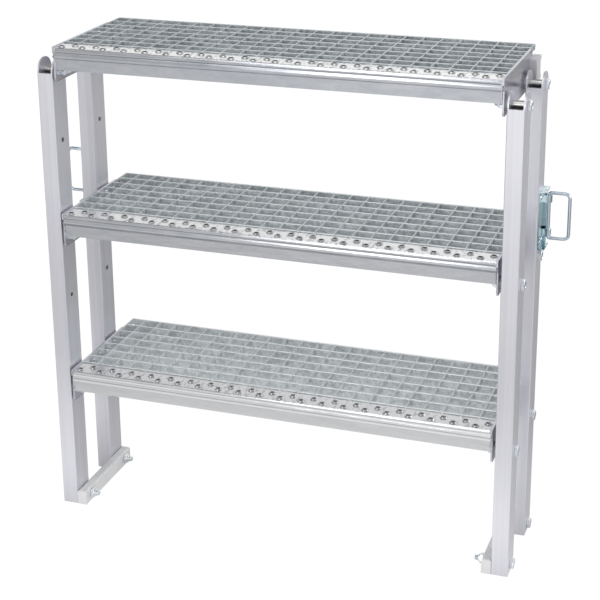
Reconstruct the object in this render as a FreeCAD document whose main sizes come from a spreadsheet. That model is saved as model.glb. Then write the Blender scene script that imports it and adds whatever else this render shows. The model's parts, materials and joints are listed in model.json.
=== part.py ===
"""Folding mounting block: three grating treads carried between four box rails.

Every tread is bolted to a front and a rear rail on each side, and a foot bar joins the
two rails of each side at the floor. The rails, treads and foot bars form a parallelogram,
so the rails can lean back while the treads stay level.

Frame: millimetres, +Z up, +X to the right, +Y from the nosings towards the back.
The origin is on the floor, midway between the sides and between nosing and rear bar.
"""
import FreeCAD, Part
import math
import os

import Sketcher

V = FreeCAD.Vector
X_AXIS, Y_AXIS, Z_AXIS = V(1, 0, 0), V(0, 1, 0), V(0, 0, 1)
os.makedirs("parts", exist_ok=True)
doc = FreeCAD.newDocument("mounting_block")

# ---------------------------------------------------------------- driving dimensions
DIMENSIONS = {
    # treads
    "tread_length": 800, "tread_depth": 270, "first_tread": 285, "tread_rise": 310,
    "bar_thick": 2, "bar_pitch": 32, "bar_count": 7, "bar_height": 30,
    "cross_height": 10, "cross_pitch": 33.7, "cross_side": 11,
    "rear_bar_thick": 3, "rear_bar_bevel": 20,
    "plate_thick": 3, "plate_height": 65, "plate_length": 243, "plate_corner": 8,
    "plate_bevel": 25, "plate_top_bevel": 20, "plate_setback": 4,
    "notch_start": 11, "notch_middle": 14.5, "notch_tooth": 18, "notch_end": 22, "notch_depth": 5,
    # nosing
    "nose_depth": 42, "nose_height": 42, "nose_sheet": 2.5, "nose_drop": 2,
    "nose_upper": 22, "nose_setback": 2.2,
    "brow_start": 3, "brow_depth": 1.6, "brow_level": 3.2, "bead_bulge": 0.6,
    "groove_depth": 1.2, "groove_level": 11, "lip_depth": 0.5, "lip_level": 21, "crease_lap": 1,
    "grip_bore": 9, "grip_base": 16, "grip_top": 11, "grip_pitch": 40,
    "grip_first_row": 13, "grip_second_row": 27,
    # rails
    "rail_inner": 407.5, "rail_width": 30, "rail_depth": 50, "rail_wall": 3,
    "rail_bottom": 0.5, "rail_edge": 1.5, "ear_drop": 3, "heel": 14.5,
    "spare_bore": 9, "spare_low": 427, "spare_high": 727,
    # pivots
    "pivot_front": -105, "pivot_rear": 45, "pivot_drop": 48, "pivot_foot": 15,
    "bolt_dia": 10, "running_fit": 0.05, "side_gap": 0.2,
    "head_flats": 17, "head_height": 6.4, "head_cone_base": 12.75, "head_cone_top": 8,
    "bolt_length": 55, "foot_bolt_length": 65,
    "nut_height": 10, "nut_collar": 3, "nut_collar_dia": 14.5,
    "washer_dia": 20, "washer_thick": 2,
    "spacer_dia": 24, "sleeve_dia": 14,
    # foot bars
    "foot_thick": 18, "foot_height": 28, "foot_round": 4,
    # carrying handles
    "bracket_width": 44, "bracket_low": 564, "bracket_high": 669, "bracket_sheet": 2,
    "bracket_lip": 12.5, "bracket_flange": 7.5, "bracket_corner": 4, "web_thick": 3,
    "bail_wire": 6, "bail_axis": 449.5, "bail_reach": 36.3,
    "bail_inner_bend": 4, "bail_outer_bend": 9,
    "bail_low": 576, "bail_high": 659.5, "bail_back": 60,
    "knuckle_dia": 11, "knuckle_tall": 13, "knuckle_play": 0.05, "knuckle_gap": 4,
    "rivet_dia": 5, "rivet_head": 10, "rivet_dome": 2.4, "rivet_margin": 11,
    "rivet_front": -14, "rivet_back": 5,
    # stop blocks behind the top tread's rear pivots
    "stop_thick": 13, "stop_length": 36, "stop_height": 42, "stop_drop": 13,
    "stop_start": 71, "stop_round": 2, "stop_lip": 6, "stop_lip_height": 8,
}
sheet = doc.addObject("Spreadsheet::Sheet", "dims")
for row, (alias, value) in enumerate(DIMENSIONS.items(), start=1):
    sheet.set("A%d" % row, alias)
    sheet.set("B%d" % row, str(value))
    sheet.setAlias("B%d" % row, alias)
doc.recompute()


def size(alias):
    """Value of one driving dimension, in millimetres."""
    return float(sheet.get(alias))


nodes = {}


def keep(label, obj):
    """Name a finished sub-part; its label is the name of its node."""
    obj.Label = label
    nodes[label] = obj
    return obj


def bind(obj, **expressions):
    """Bind properties of an object to expressions on the sheet."""
    for name, expression in expressions.items():
        obj.setExpression(name.replace("__", "."), expression)
    return obj


def shift(obj, x="0", y="0", z="0"):
    """Bind an object's position to expressions on the sheet."""
    return bind(obj, Placement__Base__x=x, Placement__Base__y=y, Placement__Base__z=z)


def turned(obj, axis, degrees):
    obj.Placement.Rotation = FreeCAD.Rotation(axis, degrees)
    return obj


# ---------------------------------------------------------------- primitives
def box(x, y, z, length, width, height):
    """Box from its low corner; every argument is an expression."""
    obj = bind(doc.addObject("Part::Box", "box"), Length=length, Width=width, Height=height)
    return shift(obj, x, y, z)


def cylinder_x(x, y, z, radius, length):
    """Cylinder along +X from the point given."""
    obj = turned(doc.addObject("Part::Cylinder", "cylinder"), Y_AXIS, 90)
    return shift(bind(obj, Radius=radius, Height=length), x, y, z)


def cylinder_z(x, y, z, radius, height):
    """Cylinder along +Z from the point given."""
    obj = bind(doc.addObject("Part::Cylinder", "cylinder"), Radius=radius, Height=height)
    return shift(obj, x, y, z)


def hexagon_x(x, y, z, flats, length):
    """Hexagonal prism along +X, with a flat facing up."""
    obj = doc.addObject("Part::Prism", "hexagon")
    obj.Polygon = 6
    turned(obj, Y_AXIS, 90)
    return shift(bind(obj, Circumradius=flats + " / sqrt(3)", Height=length), x, y, z)


def cone_x(x, y, z, radius_start, radius_end, length):
    """Cone along +X from the point given."""
    obj = turned(doc.addObject("Part::Cone", "cone"), Y_AXIS, 90)
    bind(obj, Radius1=radius_start, Radius2=radius_end, Height=length)
    return shift(obj, x, y, z)


def fuse(*shapes):
    obj = doc.addObject("Part::MultiFuse", "fuse")
    obj.Shapes = list(shapes)
    return obj


def cut(base, *tools):
    obj = doc.addObject("Part::Cut", "cut")
    obj.Base = base
    obj.Tool = tools[0] if len(tools) == 1 else fuse(*tools)
    return obj


def common(*shapes):
    obj = doc.addObject("Part::MultiCommon", "common")
    obj.Shapes = list(shapes)
    return obj


def fillet(base, radius, pick):
    """Round the edges that pick(edge) accepts."""
    doc.recompute()
    obj = doc.addObject("Part::Fillet", "fillet")
    obj.Base = base
    obj.Edges = [(i, radius, radius) for i, edge in enumerate(base.Shape.Edges, 1) if pick(edge)]
    return obj


def chamfer(base, length, pick):
    """Bevel the edges that pick(edge) accepts."""
    doc.recompute()
    obj = doc.addObject("Part::Chamfer", "chamfer")
    obj.Base = base
    obj.Edges = [(i, length, length) for i, edge in enumerate(base.Shape.Edges, 1) if pick(edge)]
    return obj


def along(edge, axis):
    """True for a straight edge parallel to an axis."""
    if not isinstance(edge.Curve, Part.Line):
        return False
    return abs(abs(edge.tangentAt(edge.FirstParameter).dot(axis)) - 1) < 1e-6


def group(label, sources, places):
    """Node of separate equal solids: each source shape at each place."""
    doc.recompute()
    copies = []
    for source in sources:
        for place in places:
            solid = source.Shape.copy()
            solid.Placement = place.multiply(solid.Placement)
            copies.append(solid)
    obj = doc.addObject("Part::Feature", label)
    obj.Shape = Part.makeCompound(copies)
    return keep(label, obj)


def at(x=0, y=0, z=0):
    return FreeCAD.Placement(V(x, y, z), FreeCAD.Rotation())


# ---------------------------------------------------------------- sketches and features
def origin_plane(body, role):
    return next(item for item in body.Origin.OriginFeatures if item.Role == role)


def new_sketch(body, role):
    sketch = body.newObject("Sketcher::SketchObject", "sketch")
    sketch.AttachmentSupport = [(origin_plane(body, role), "")]
    sketch.MapMode = "FlatFace"
    return sketch


def outline(sketch, points, arcs=None):
    """Closed outline; points are pairs of expressions, arcs gives a via point by side number."""
    arcs = arcs or {}
    values = [V(float(sketch.evalExpression(u)), float(sketch.evalExpression(v)), 0)
              for u, v in points]
    sides = []
    for i, start in enumerate(values):
        end = values[(i + 1) % len(values)]
        if i in arcs:
            via = V(*[float(sketch.evalExpression(part)) for part in arcs[i]], 0)
            sides.append(Part.Arc(start, via, end))
        else:
            sides.append(Part.LineSegment(start, end))
    ids = [sketch.addGeometry(side, False) for side in sides]
    for i, name in enumerate(ids):
        if i not in arcs:
            for kind, index in (("DistanceX", 0), ("DistanceY", 1)):
                spot = sketch.addConstraint(Sketcher.Constraint(kind, name, 1, values[i][index]))
                sketch.setExpression("Constraints[%d]" % spot, points[i][index])
    for i, name in enumerate(ids):
        following = (i + 1) % len(ids)
        if i not in arcs and following not in arcs:
            sketch.addConstraint(Sketcher.Constraint("Coincident", name, 2, ids[following], 1))


def rectangle(sketch, low, high):
    outline(sketch, [(low[0], low[1]), (high[0], low[1]), (high[0], high[1]), (low[0], high[1])])


def circles(sketch, centres, radius):
    """Circles at (u, v) expression pairs, all of one radius expression."""
    value = float(sketch.evalExpression(radius))
    for u, v in centres:
        centre = V(float(sketch.evalExpression(u)), float(sketch.evalExpression(v)), 0)
        name = sketch.addGeometry(Part.Circle(centre, Z_AXIS, value), False)
        spot = sketch.addConstraint(Sketcher.Constraint("Radius", name, value))
        sketch.setExpression("Constraints[%d]" % spot, radius)
        for kind, number, expression in (("DistanceX", centre.x, u), ("DistanceY", centre.y, v)):
            spot = sketch.addConstraint(Sketcher.Constraint(kind, name, 3, number))
            sketch.setExpression("Constraints[%d]" % spot, expression)


def feature(body, kind, sketch, length, side="One side", reverse=False):
    """Pad or Pocket of a sketch, checked to change the volume."""
    before = body.Shape.Volume if body.Tip else 0.0
    obj = body.newObject("PartDesign::" + kind, kind.lower())
    obj.Profile = sketch
    obj.SideType = side
    obj.Reversed = reverse
    obj.setExpression("Length", length)
    doc.recompute()
    if abs(body.Shape.Volume - before) < 1e-3:
        raise RuntimeError(body.Label + ": a feature changed nothing")
    return obj


# ---------------------------------------------------------------- rails
TREADS = ("lower", "middle", "upper")
TREAD_TOPS = ["dims.first_tread + %d * dims.tread_rise" % i for i in range(3)]
PIVOT_HEIGHTS = ["dims.pivot_foot"] + [top + " - dims.pivot_drop" for top in TREAD_TOPS]
TOP_PIVOT = PIVOT_HEIGHTS[-1]
SIDES = {"left": -1, "right": 1}
PIVOTS = {"front": "dims.pivot_front", "rear": "dims.pivot_rear"}
RAIL_MIDDLE = "(dims.rail_inner + dims.rail_width / 2)"
OUTER_FACE = "(dims.rail_inner + dims.rail_width)"
BORE_RADIUS = "dims.bolt_dia / 2 + dims.running_fit"
RIVET_COLUMNS = ("dims.rivet_front", "dims.rivet_back")
RIVET_ROWS = ("dims.bracket_low + dims.rivet_margin", "dims.bracket_high - dims.rivet_margin")


def make_rail(place, side):
    """Box rail with ears at its top, a bevelled heel, pivot bores and two spare holes."""
    label = "%s_rail_%s" % (place, side)
    body = doc.addObject("PartDesign::Body", label)
    half_w, half_d = "dims.rail_width / 2", "dims.rail_depth / 2"
    ear_centre = TOP_PIVOT + " - dims.ear_drop"
    rail_top = ear_centre + " + " + half_d

    section = new_sketch(body, "XY_Plane")
    section.setExpression("AttachmentOffset.Base.z", "dims.rail_bottom")
    rectangle(section, ("-" + half_w, "-" + half_d), (half_w, half_d))
    solid = feature(body, "Pad", section, rail_top + " - dims.rail_bottom")

    long_edges = ["Edge%d" % i for i, edge in enumerate(solid.Shape.Edges, 1)
                  if along(edge, Z_AXIS)]
    rounding = body.newObject("PartDesign::Fillet", "edges")
    rounding.Base = (solid, long_edges)
    rounding.setExpression("Radius", "dims.rail_edge")
    doc.recompute()

    hollow = new_sketch(body, "XY_Plane")
    hollow.setExpression("AttachmentOffset.Base.z", "2 * dims.rail_bottom - dims.rail_depth")
    rectangle(hollow, ("-%s + dims.rail_wall" % half_w, "-%s + dims.rail_wall" % half_d),
              (half_w + " - dims.rail_wall", half_d + " - dims.rail_wall"))
    feature(body, "Pocket", hollow, rail_top + " + dims.rail_depth", reverse=True)

    notch = new_sketch(body, "XZ_Plane")
    rectangle(notch, ("-%s + dims.rail_wall" % half_w, ear_centre),
              (half_w + " - dims.rail_wall", rail_top + " + 1"))
    feature(body, "Pocket", notch, "2 * dims.rail_depth", side="Symmetric")

    ears = new_sketch(body, "YZ_Plane")
    outline(ears, [("-" + half_d, ear_centre), (half_d, ear_centre),
                   (half_d + " + 1", ear_centre), (half_d + " + 1", rail_top + " + 1"),
                   ("-%s - 1" % half_d, rail_top + " + 1"), ("-%s - 1" % half_d, ear_centre)],
            arcs={0: ("0", rail_top)})
    feature(body, "Pocket", ears, "2 * dims.rail_width", side="Symmetric")

    heel = new_sketch(body, "YZ_Plane")
    tangent = "dims.heel * sin(45)"
    slope_end = "dims.pivot_foot - dims.heel * sqrt(2) + %s + 1" % half_d
    outline(heel, [("0", "dims.pivot_foot - dims.heel"),
                   (tangent, "dims.pivot_foot - " + tangent),
                   (half_d + " + 1", slope_end),
                   (half_d + " + 1", "-1"), ("0", "-1")],
            arcs={0: ("dims.heel * sin(22.5)", "dims.pivot_foot - dims.heel * cos(22.5)")})
    feature(body, "Pocket", heel, "2 * dims.rail_width", side="Symmetric")

    bores = new_sketch(body, "YZ_Plane")
    circles(bores, [("0", height) for height in PIVOT_HEIGHTS], BORE_RADIUS)
    feature(body, "Pocket", bores, "2 * dims.rail_width", side="Symmetric")

    spare = new_sketch(body, "YZ_Plane")
    circles(spare, [("0", "dims.spare_low"), ("0", "dims.spare_high")], "dims.spare_bore / 2")
    feature(body, "Pocket", spare, "dims.rail_width", reverse=side == "left")

    if place == "rear":
        rivets = new_sketch(body, "YZ_Plane")
        circles(rivets, [(column, height) for column in RIVET_COLUMNS for height in RIVET_ROWS],
                "dims.rivet_dia / 2")
        feature(body, "Pocket", rivets, "dims.rail_width", reverse=side == "right")

    shift(body, "%d * %s" % (SIDES[side], RAIL_MIDDLE), PIVOTS[place])
    keep(label, body)


for place in PIVOTS:
    for side in SIDES:
        make_rail(place, side)


# ---------------------------------------------------------------- pivot hardware
def make_bolt(length):
    """Hexagon bolt along X: head outwards, its underside just off the rail's outer face."""
    seat = OUTER_FACE + " + dims.side_gap"
    head = common(hexagon_x(seat, "0", "0", "dims.head_flats", "dims.head_height"),
                  cone_x(seat, "0", "0", "dims.head_cone_base", "dims.head_cone_top",
                         "dims.head_height"))
    shank = cylinder_x("%s - %s" % (seat, length), "0", "0", "dims.bolt_dia / 2", length)
    return fuse(head, shank)


def make_nut(inner_face):
    """Locking nut whose seat is at inner_face and whose plastic collar faces inwards."""
    hexagon = hexagon_x(inner_face + " - dims.nut_height + dims.nut_collar", "0", "0",
                        "dims.head_flats", "dims.nut_height - dims.nut_collar")
    collar = cylinder_x(inner_face + " - dims.nut_height", "0", "0",
                        "dims.nut_collar_dia / 2", "dims.nut_collar")
    bore = cylinder_x(inner_face + " - dims.nut_height - 1", "0", "0", BORE_RADIUS,
                      "dims.nut_height + 2")
    return cut(fuse(hexagon, collar), bore)


def make_ring(inner_face, diameter, thick):
    """Flat ring around a bolt, from inner_face outwards."""
    return cut(cylinder_x(inner_face, "0", "0", diameter + " / 2", thick),
               cylinder_x(inner_face + " - 1", "0", "0", BORE_RADIUS, thick + " + 2"))


def both_sides(label, source, spots):
    """Group of a right-hand piece and its mirror image, at every (y, z) spot."""
    doc.recompute()
    mirror = doc.addObject("Part::Feature", "mirror")
    mirror.Shape = source.Shape.mirror(V(0, 0, 0), X_AXIS)
    return group(label, [source, mirror], [at(y=y, z=z) for y, z in spots])


pivot_bolt = make_bolt("dims.bolt_length")
foot_bolt = make_bolt("dims.foot_bolt_length")
plate_inner = "(dims.tread_length / 2)"
foot_inner = "(dims.rail_inner - dims.side_gap - dims.foot_thick)"
pivot_nut = make_nut(plate_inner + " - dims.washer_thick")
foot_nut = make_nut(foot_inner)
washer = make_ring(plate_inner + " - dims.washer_thick", "dims.washer_dia", "dims.washer_thick")
spacer = make_ring(plate_inner + " + dims.plate_thick", "dims.spacer_dia",
                   "dims.rail_inner - dims.side_gap - dims.tread_length / 2 - dims.plate_thick")
sleeve = make_ring("(dims.rail_inner + dims.rail_wall)", "dims.sleeve_dia",
                   "dims.rail_width - 2 * dims.rail_wall")

depths = [size("pivot_front"), size("pivot_rear")]
tread_tops = [size("first_tread") + i * size("tread_rise") for i in range(3)]
tread_pivots = [top - size("pivot_drop") for top in tread_tops]
foot_spots = [(depth, size("pivot_foot")) for depth in depths]
both_sides("foot_bolts", foot_bolt, foot_spots)
both_sides("foot_nuts", foot_nut, foot_spots)
for place, depth in zip(PIVOTS, depths):
    heights = [size("pivot_foot")] + tread_pivots
    both_sides(place + "_rail_sleeves", sleeve, [(depth, height) for height in heights])
for name, height in zip(TREADS, tread_pivots):
    spots = [(depth, height) for depth in depths]
    both_sides(name + "_pivot_bolts", pivot_bolt, spots)
    both_sides(name + "_pivot_nuts", pivot_nut, spots)
    both_sides(name + "_pivot_washers", washer, spots)
    both_sides(name + "_pivot_spacers", spacer, spots)


# ---------------------------------------------------------------- foot bars
def make_foot_bar(side):
    """Plastic bar on the floor that joins the feet of the front and rear rails."""
    low_y = "(dims.pivot_front - dims.rail_depth / 2)"
    length = "dims.pivot_rear - dims.pivot_front + dims.rail_depth"
    low_x = foot_inner if side == "right" else "-dims.rail_inner + dims.side_gap"
    block = box(low_x, low_y, "0", "dims.foot_thick", length, "dims.foot_height")
    block = fillet(block, size("foot_round"), lambda edge: edge.BoundBox.ZMin > 1 and (
        along(edge, Y_AXIS) or along(edge, X_AXIS)))
    holes = [cylinder_x(low_x + " - 1", depth, "dims.pivot_foot", BORE_RADIUS,
                        "dims.foot_thick + 2") for depth in PIVOTS.values()]
    keep("foot_bar_" + side, cut(block, *holes))


for side in SIDES:
    make_foot_bar(side)


# ---------------------------------------------------------------- treads
half_length = size("tread_length") / 2
half_depth = size("tread_depth") / 2
end_bar = half_length - size("bar_thick") / 2
inner_bars = int(size("cross_side"))
cross_places = [-end_bar] + [i * size("cross_pitch") for i in range(-inner_bars, inner_bars + 1)]
cross_places.append(end_bar)
bearing_places = [half_depth - size("bar_thick") / 2 - (i + 1) * size("bar_pitch")
                  for i in range(int(size("bar_count")))]


def make_bearing_bar():
    """Upright strip along the tread, slotted where the cross bars are pressed in."""
    bar = box("-dims.tread_length / 2", "-dims.bar_thick / 2", "-dims.bar_height",
              "dims.tread_length", "dims.bar_thick", "dims.bar_height")
    slots = [box("%g - dims.bar_thick / 2" % x, "-dims.bar_thick", "-dims.cross_height",
                 "dims.bar_thick", "2 * dims.bar_thick", "2 * dims.cross_height")
             for x in cross_places]
    return cut(bar, *slots)


bearing_bar = make_bearing_bar()


def make_bearing_bars(name, top):
    group(name + "_bearing_bars", [bearing_bar], [at(y=y, z=top) for y in bearing_places])


def make_cross_bars(name, top):
    """Thin strips from nosing to rear bar, flush with the tops of the bearing bars."""
    start = size("nose_depth") - half_depth
    length = half_depth - size("rear_bar_thick") - start
    bar = box(str(-size("bar_thick") / 2), str(start), "-dims.cross_height",
              "dims.bar_thick", str(length), "dims.cross_height")
    group(name + "_cross_bars", [bar], [at(x=x, z=top) for x in cross_places])


def make_rear_bar(name, top):
    """Rear edge of the grating, bevelled at its lower ends."""
    bar = box("-dims.tread_length / 2", "dims.tread_depth / 2 - dims.rear_bar_thick",
              top + " - dims.bar_height", "dims.tread_length", "dims.rear_bar_thick",
              "dims.bar_height")
    doc.recompute()
    middle = bar.Shape.BoundBox.Center.z
    bar = chamfer(bar, size("rear_bar_bevel"),
                  lambda edge: along(edge, Y_AXIS) and edge.BoundBox.ZMax < middle)
    keep(name + "_rear_bar", bar)


def nosing_section():
    """Closed section of the nosing in the YZ plane, its front at y = 0 and tread top at z = 0."""
    deep, tall = size("nose_depth"), size("nose_height")
    sheet_thick, drop = size("nose_sheet"), size("nose_drop")
    upper, setback = size("nose_upper"), size("nose_setback")
    lap, inner = size("crease_lap"), setback + sheet_thick
    groove, lip = size("groove_level"), size("lip_level")
    points = {
        "rear": V(0, deep, -drop), "brow": V(0, size("brow_start"), -drop),
        "brow_low": V(0, size("brow_depth"), -size("brow_level")),
        "bead_one": V(0, size("bead_bulge"), -(groove + drop) / 2),
        "groove": V(0, size("groove_depth"), -groove), "bead_two": V(0, 0, -(groove + lip) / 2),
        "lip": V(0, size("lip_depth"), -lip),
        "crease": V(0, setback, -upper), "hem": V(0, setback, -tall),
        "hem_in": V(0, inner, -tall), "crease_in": V(0, inner, lap - upper),
        "brow_in": V(0, inner + lap, -drop - sheet_thick),
        "rear_in": V(0, deep, -drop - sheet_thick),
    }
    edges = [Part.makeLine(points["rear"], points["brow"]),
             Part.makeLine(points["brow"], points["brow_low"]),
             Part.Arc(points["brow_low"], points["bead_one"], points["groove"]).toShape(),
             Part.Arc(points["groove"], points["bead_two"], points["lip"]).toShape()]
    around = ["lip", "crease", "hem", "hem_in", "crease_in", "brow_in", "rear_in", "rear"]
    edges += [Part.makeLine(points[a], points[b]) for a, b in zip(around, around[1:])]
    return Part.Face(Part.Wire(edges))


def grip_places():
    """Centres of the two staggered rows of raised grip holes, from the tread's middle."""
    pitch, places = size("grip_pitch"), []
    count = int(size("tread_length") / pitch)
    for row, offset in (("grip_first_row", 0.25), ("grip_second_row", 0.75)):
        places += [(-half_length + (i + offset) * pitch, size(row)) for i in range(count)]
    return places


def nosing_shape():
    """Nosing of folded sheet with raised, open grip collars along its top."""
    drop, thick = size("nose_drop"), size("nose_sheet")
    body = nosing_section().extrude(V(2 * half_length, 0, 0)).translated(V(-half_length, 0, 0))
    centres = [V(x, y, -drop - thick / 2) for x, y in grip_places()]
    collars = [Part.makeCone(size("grip_base") / 2, size("grip_top") / 2, drop + thick / 2, c)
               for c in centres]
    bores = [Part.makeCylinder(size("grip_bore") / 2, 4 * thick, c - V(0, 0, 2 * thick))
             for c in centres]
    return body.fuse(collars).cut(bores).removeSplitter()


nosing_master = doc.addObject("Part::Feature", "nosing_master")
nosing_master.Shape = nosing_shape()


def make_nosing(name, top):
    group(name + "_nosing", [nosing_master], [at(y=-half_depth, z=top)])


def make_side_plate(name, top, side):
    """End plate of a tread: notched at the front, bevelled at the back, bored for two bolts."""
    label = "%s_side_plate_%s" % (name, side)
    body = doc.addObject("PartDesign::Body", label)
    brow, rear = "-dims.tread_depth / 2", "dims.plate_length - dims.tread_depth / 2"
    front, low, corner = brow + " + dims.plate_setback", "-dims.plate_height", "dims.plate_corner"
    profile = new_sketch(body, "YZ_Plane")
    outline(profile, [(brow, "0"), (brow, "-dims.notch_start"),
                      (brow + " + dims.notch_depth", "-dims.notch_middle"),
                      (brow, "-dims.notch_tooth"), (front, "-dims.notch_end"),
                      (front, "%s + %s" % (low, corner)), ("%s + %s" % (front, corner), low),
                      (rear + " - dims.plate_bevel", low), (rear, low + " + dims.plate_bevel"),
                      (rear, "-dims.plate_top_bevel"), (rear + " - dims.plate_top_bevel", "0")],
            arcs={5: ("%s + %s * (1 - cos(45))" % (front, corner),
                      "%s + %s * (1 - sin(45))" % (low, corner))})
    feature(body, "Pad", profile, "dims.plate_thick", reverse=side == "left")

    bores = new_sketch(body, "YZ_Plane")
    circles(bores, [(depth, "-dims.pivot_drop") for depth in PIVOTS.values()], BORE_RADIUS)
    feature(body, "Pocket", bores, "2 * dims.plate_thick", reverse=side == "right")
    shift(body, plate_inner if side == "right" else "-" + plate_inner, "0", top)
    keep(label, body)


for name, top, height in zip(TREADS, TREAD_TOPS, tread_tops):
    make_bearing_bars(name, height)
    make_cross_bars(name, height)
    make_rear_bar(name, top)
    make_nosing(name, height)
    for side in SIDES:
        make_side_plate(name, top, side)


def make_stop_block(side):
    """Block just behind a rear rail, with a lip along the top and bottom of its rear face."""
    outer = "(%s + dims.plate_thick)" % plate_inner
    low_x = outer if side == "right" else "-%s - dims.stop_thick" % outer
    bottom = TREAD_TOPS[-1] + " - dims.stop_drop - dims.stop_height"
    core = box(low_x, "dims.stop_start", bottom,
               "dims.stop_thick", "dims.stop_length", "dims.stop_height")
    lips = [box(low_x, "dims.stop_start", low, "dims.stop_thick",
                "dims.stop_length + dims.stop_lip", "dims.stop_lip_height")
            for low in (bottom, bottom + " + dims.stop_height - dims.stop_lip_height")]
    block = fillet(fuse(core, *lips), size("stop_round"), lambda edge: along(edge, X_AXIS)
                   and not (edge.BoundBox.YMin > size("stop_start") + 1
                            and edge.BoundBox.YMax < size("stop_start") + size("stop_length") + 1))
    keep("stop_block_" + side, block)


for side in SIDES:
    make_stop_block(side)


# ---------------------------------------------------------------- carrying handles
BACK_Y = "(dims.pivot_rear - dims.bracket_width / 2)"
BRACKET_HEIGHT = "(dims.bracket_high - dims.bracket_low)"
KNUCKLE_LOWS = ("(dims.bail_low + dims.knuckle_gap)",
                "(dims.bail_high - dims.knuckle_gap - dims.knuckle_tall)")


def bracket_plate():
    """Sheet-metal tray: back plate, top and bottom lips and a short rear flange."""
    plate = box(OUTER_FACE, BACK_Y, "dims.bracket_low",
                "dims.bracket_sheet", "dims.bracket_width", BRACKET_HEIGHT)
    lips = [box(OUTER_FACE, BACK_Y, low, "dims.bracket_lip", "dims.bracket_width",
                "dims.bracket_sheet")
            for low in ("dims.bracket_low", "dims.bracket_high - dims.bracket_sheet")]
    lips = [fillet(lip, size("bracket_corner"), lambda edge: along(edge, Z_AXIS)
                   and edge.BoundBox.XMin > size("rail_inner") + size("rail_width") + 1)
            for lip in lips]
    flange = box(OUTER_FACE, BACK_Y + " + dims.bracket_width - dims.bracket_sheet",
                 "dims.bracket_low", "dims.bracket_flange", "dims.bracket_sheet", BRACKET_HEIGHT)
    return [plate, flange] + lips


def knuckles():
    """Two curls that hold the bail's inner leg, each on a web from the back plate."""
    parts = []
    for low in KNUCKLE_LOWS:
        parts.append(cylinder_z("dims.bail_axis", "dims.bail_back", low,
                                "dims.knuckle_dia / 2", "dims.knuckle_tall"))
        parts.append(box(OUTER_FACE, "dims.bail_back - dims.knuckle_dia / 2", low,
                         "dims.bail_axis - " + OUTER_FACE, "dims.web_thick",
                         "dims.knuckle_tall"))
    return parts


rivet_heights = [size("bracket_low") + size("rivet_margin"),
                 size("bracket_high") - size("rivet_margin")]
rivet_spots = [(size("pivot_rear") + size(column), height)
               for column in ("rivet_front", "rivet_back") for height in rivet_heights]
bores = [cylinder_z("dims.bail_axis", "dims.bail_back", low + " - 1",
                    "dims.bail_wire / 2 + dims.knuckle_play", "dims.knuckle_tall + 2")
         for low in KNUCKLE_LOWS]
bores += [cylinder_x(OUTER_FACE + " - 1", str(y), str(z), "dims.rivet_dia / 2",
                     "dims.bracket_sheet + 2") for y, z in rivet_spots]
bracket = cut(fuse(*bracket_plate(), *knuckles()), *bores)


def make_rivet():
    """Domed rivet along X through the bracket's sheet and the rail's outer wall."""
    seat = OUTER_FACE + " + dims.bracket_sheet"
    shank = cylinder_x(OUTER_FACE + " - dims.rail_wall", "0", "0", "dims.rivet_dia / 2",
                       "dims.rail_wall + dims.bracket_sheet")
    dome = cone_x(seat, "0", "0", "dims.rivet_head / 2", "dims.rivet_head / 4",
                  "dims.rivet_dome")
    return fuse(shank, dome)


def make_bail():
    """Closed wire ring: four straight sides joined by quarter bends."""
    wire, depth = "dims.bail_wire / 2", "dims.bail_back"
    low, high = "dims.bail_low", "dims.bail_high"
    inner, outer = "dims.bail_inner_bend", "dims.bail_outer_bend"
    inner_x, outer_x = "dims.bail_axis", "(dims.bail_axis + dims.bail_reach)"
    parts = []
    for x, bend in ((inner_x, inner), (outer_x, outer)):
        parts.append(cylinder_z(x, depth, "%s + %s" % (low, bend), wire,
                                "%s - %s - 2 * %s" % (high, low, bend)))
    for z in (low, high):
        parts.append(cylinder_x("%s + %s" % (inner_x, inner), depth, z, wire,
                                "dims.bail_reach - %s - %s" % (inner, outer)))
    corners = [(inner_x + " + " + inner, high + " - " + inner, inner, 90),
               (inner_x + " + " + inner, low + " + " + inner, inner, 180),
               (outer_x + " - " + outer, low + " + " + outer, outer, 270),
               (outer_x + " - " + outer, high + " - " + outer, outer, 0)]
    for x, z, bend, start in corners:
        ring = bind(doc.addObject("Part::Torus", "bend"), Radius1=bend, Radius2=wire)
        ring.Angle3 = 90
        upright = FreeCAD.Rotation(X_AXIS, 90)
        ring.Placement.Rotation = upright.multiply(FreeCAD.Rotation(Z_AXIS, start))
        parts.append(shift(ring, x, depth, z))
    return fuse(*parts)


both_sides("handle_rivets", make_rivet(), rivet_spots)
keep("handle_bracket_right", bracket)
keep("handle_bail_right", make_bail())
for part in ("handle_bracket", "handle_bail"):
    left = doc.addObject("Part::Mirroring", part)
    left.Source = nodes[part + "_right"]
    left.Normal = X_AXIS
    keep(part + "_left", left)


# ---------------------------------------------------------------- checks and files
doc.recompute()
for obj in doc.Objects:
    if "Invalid" in obj.State or "Error" in obj.State:
        raise RuntimeError("%s failed: %s" % (obj.Label, obj.State))
for label, obj in nodes.items():
    shape = obj.Shape
    if shape.isNull() or not shape.isValid() or not shape.Solids:
        raise RuntimeError(label + " has no valid solid")
for label, obj in nodes.items():
    obj.Shape.exportStep("parts/%s.step" % label)
print("%d nodes written" % len(nodes))
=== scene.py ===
"""Looks of the folding mounting block: materials, fine pieces, studio and camera.

Everything is in metres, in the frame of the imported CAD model: +X to the right, +Y to the
back, +Z up, with the floor at z = 0. The CAD nodes keep their shape, and the pieces made
here ride on the CAD bodies.
"""

import json
import math
import random

import bmesh
import bpy
from mathutils import Matrix, Vector


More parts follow.
